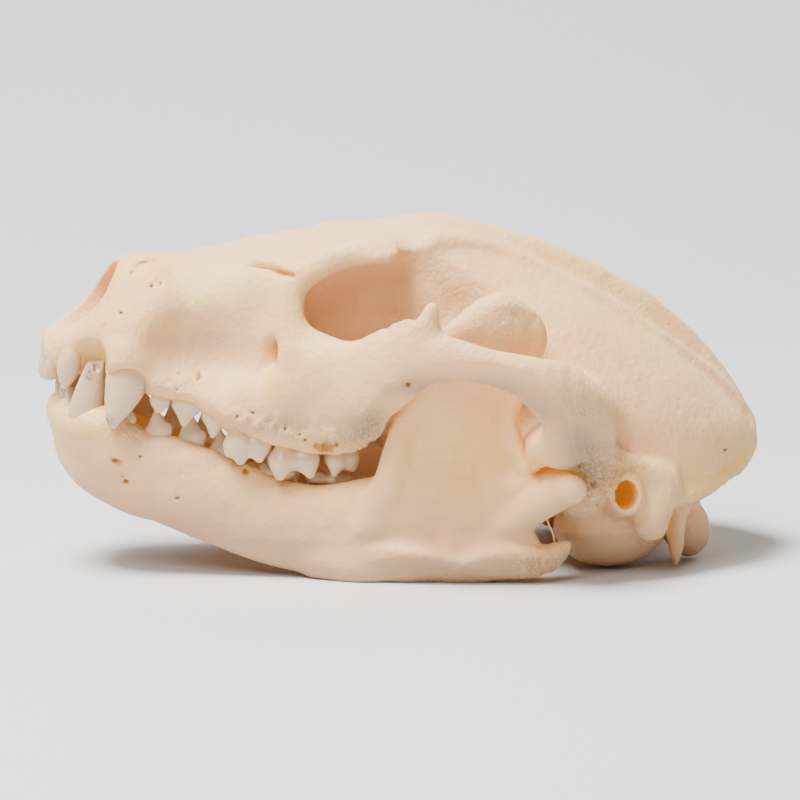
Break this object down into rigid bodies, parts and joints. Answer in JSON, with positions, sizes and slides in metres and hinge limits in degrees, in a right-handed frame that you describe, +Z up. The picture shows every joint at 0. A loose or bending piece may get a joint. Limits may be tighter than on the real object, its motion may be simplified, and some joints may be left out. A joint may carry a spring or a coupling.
{
  "type": "raccoon skull",
  "caption": "Adult raccoon skull with its mandible under it and every tooth in place, a dry bone specimen resting on the lower borders of the mandible.",
  "frame": {"origin": "centre of the box round the whole skull, at the level of the surface it stands on", "axes": "the nose points to -Y and the back of the head to +Y, the animal's left side is +X, +Z is up; the skull is symmetric about X = 0"},
  "size_m": [0.0773, 0.1194, 0.057],
  "materials": {
    "bone": "matt dry bone",
    "enamel": "worn glossy enamel"
  },
  "bodies": {
    "root": {"cranium": "bone", "mandible": "bone", "tooth_upper_left_I1": "enamel", "tooth_upper_left_I2": "enamel", "tooth_upper_left_I3": "enamel", "tooth_upper_left_C": "enamel", "tooth_upper_left_P1": "enamel", "tooth_upper_left_P2": "enamel", "tooth_upper_left_P3": "enamel", "tooth_upper_left_P4": "enamel", "tooth_upper_left_M1": "enamel", "tooth_upper_left_M2": "enamel", "tooth_upper_right_I1": "enamel", "tooth_upper_right_I2": "enamel", "tooth_upper_right_I3": "enamel", "tooth_upper_right_C": "enamel", "tooth_upper_right_P1": "enamel", "tooth_upper_right_P2": "enamel", "tooth_upper_right_P3": "enamel", "tooth_upper_right_P4": "enamel", "tooth_upper_right_M1": "enamel", "tooth_upper_right_M2": "enamel", "tooth_lower_left_i1": "enamel", "tooth_lower_left_i2": "enamel", "tooth_lower_left_i3": "enamel", "tooth_lower_left_c": "enamel", "tooth_lower_left_p1": "enamel", "tooth_lower_left_p2": "enamel", "tooth_lower_left_p3": "enamel", "tooth_lower_left_p4": "enamel", "tooth_lower_left_m1": "enamel", "tooth_lower_left_m2": "enamel", "tooth_lower_right_i1": "enamel", "tooth_lower_right_i2": "enamel", "tooth_lower_right_i3": "enamel", "tooth_lower_right_c": "enamel", "tooth_lower_right_p1": "enamel", "tooth_lower_right_p2": "enamel", "tooth_lower_right_p3": "enamel", "tooth_lower_right_p4": "enamel", "tooth_lower_right_m1": "enamel", "tooth_lower_right_m2": "enamel"}
  },
  "joints": []
}
